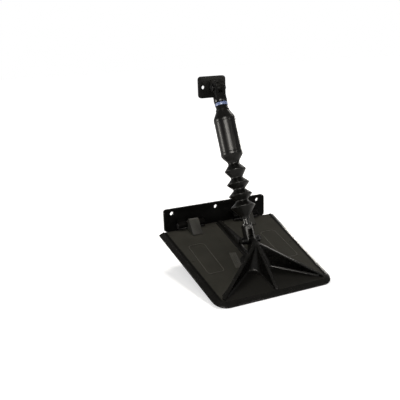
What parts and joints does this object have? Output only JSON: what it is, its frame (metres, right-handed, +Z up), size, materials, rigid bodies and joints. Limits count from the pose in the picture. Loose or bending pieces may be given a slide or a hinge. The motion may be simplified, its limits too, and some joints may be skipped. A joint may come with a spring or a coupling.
{
  "type": "boat trim tab",
  "caption": "Self-adjusting boat trim tab: a ribbed composite plate hinged to a transom strip and held down by a booted gas strut on an upper bracket.",
  "frame": {"origin": "centre of the hinge plate's transom face", "axes": "+Y towards the boat, normal to the transom; +Z up the transom; +X to the right seen from astern; the plate reaches aft along -Y"},
  "size_m": [0.2534, 0.2378, 0.3532],
  "materials": {
    "composite": "satin moulded glass-filled composite",
    "leaf_composite": "smooth moulded composite, a little lighter",
    "gloss_composite": "glossy black moulding",
    "tube_coating": "black coated tube",
    "boot_rubber": "satin black rubber",
    "seal_rubber": "black seal rubber",
    "blackened_steel": "dark stainless steel",
    "rod_chrome": "polished rod",
    "piston_metal": "turned aluminium",
    "band_blue": "glossy light blue"
  },
  "bodies": {
    "transom_side": {"hinge_plate": "composite", "left_hinge_pin": "blackened_steel", "right_hinge_pin": "blackened_steel", "upper_bracket": "composite", "upper_pivot_pin": "blackened_steel", "upper_pivot_nut": "blackened_steel"},
    "tab": {"trim_plate": "composite", "left_hinge_leaf": "leaf_composite", "right_hinge_leaf": "leaf_composite"},
    "cylinder": {"upper_fork": "gloss_composite", "colour_band": "band_blue", "cylinder_head": "gloss_composite", "head_seal": "seal_rubber", "gas_cylinder": "tube_coating", "cylinder_gland": "tube_coating", "gland_seal": "seal_rubber", "rod_seal": "seal_rubber", "boot_sleeve": "boot_rubber", "boot_bellows": "boot_rubber"},
    "rod": {"piston": "piston_metal", "piston_ring": "seal_rubber", "piston_nut": "piston_metal", "piston_rod": "rod_chrome", "lower_fork": "gloss_composite", "lower_pivot_pin": "blackened_steel", "lower_pin_washers": "blackened_steel", "lower_pivot_nut": "blackened_steel"}
  },
  "joints": [
    {"name": "tab_hinge", "type": "hinge", "parent": "transom_side", "child": "tab", "pos_m": [0, -0.015, -0.01], "axis": [-1, 0, 0], "range_deg": [0, 18], "stiffness_Nm_per_rad": 15, "springref_deg": -77.35},
    {"name": "strut_pivot", "type": "hinge", "parent": "transom_side", "child": "cylinder", "pos_m": [0, -0.027, 0.246], "axis": [-1, 0, 0], "range_deg": [0, 3]},
    {"name": "rod_slide", "type": "slide", "parent": "cylinder", "child": "rod", "axis": [0, 0.3961, 0.9182], "range_m": [0, 0.037], "deforming": ["boot_bellows"]}
  ],
  "couplings": [
    {"joint": "strut_pivot", "follows": "tab_hinge", "ratio": 0.15738},
    {"joint": "rod_slide", "follows": "tab_hinge", "m_per_rad": 0.11751}
  ]
}
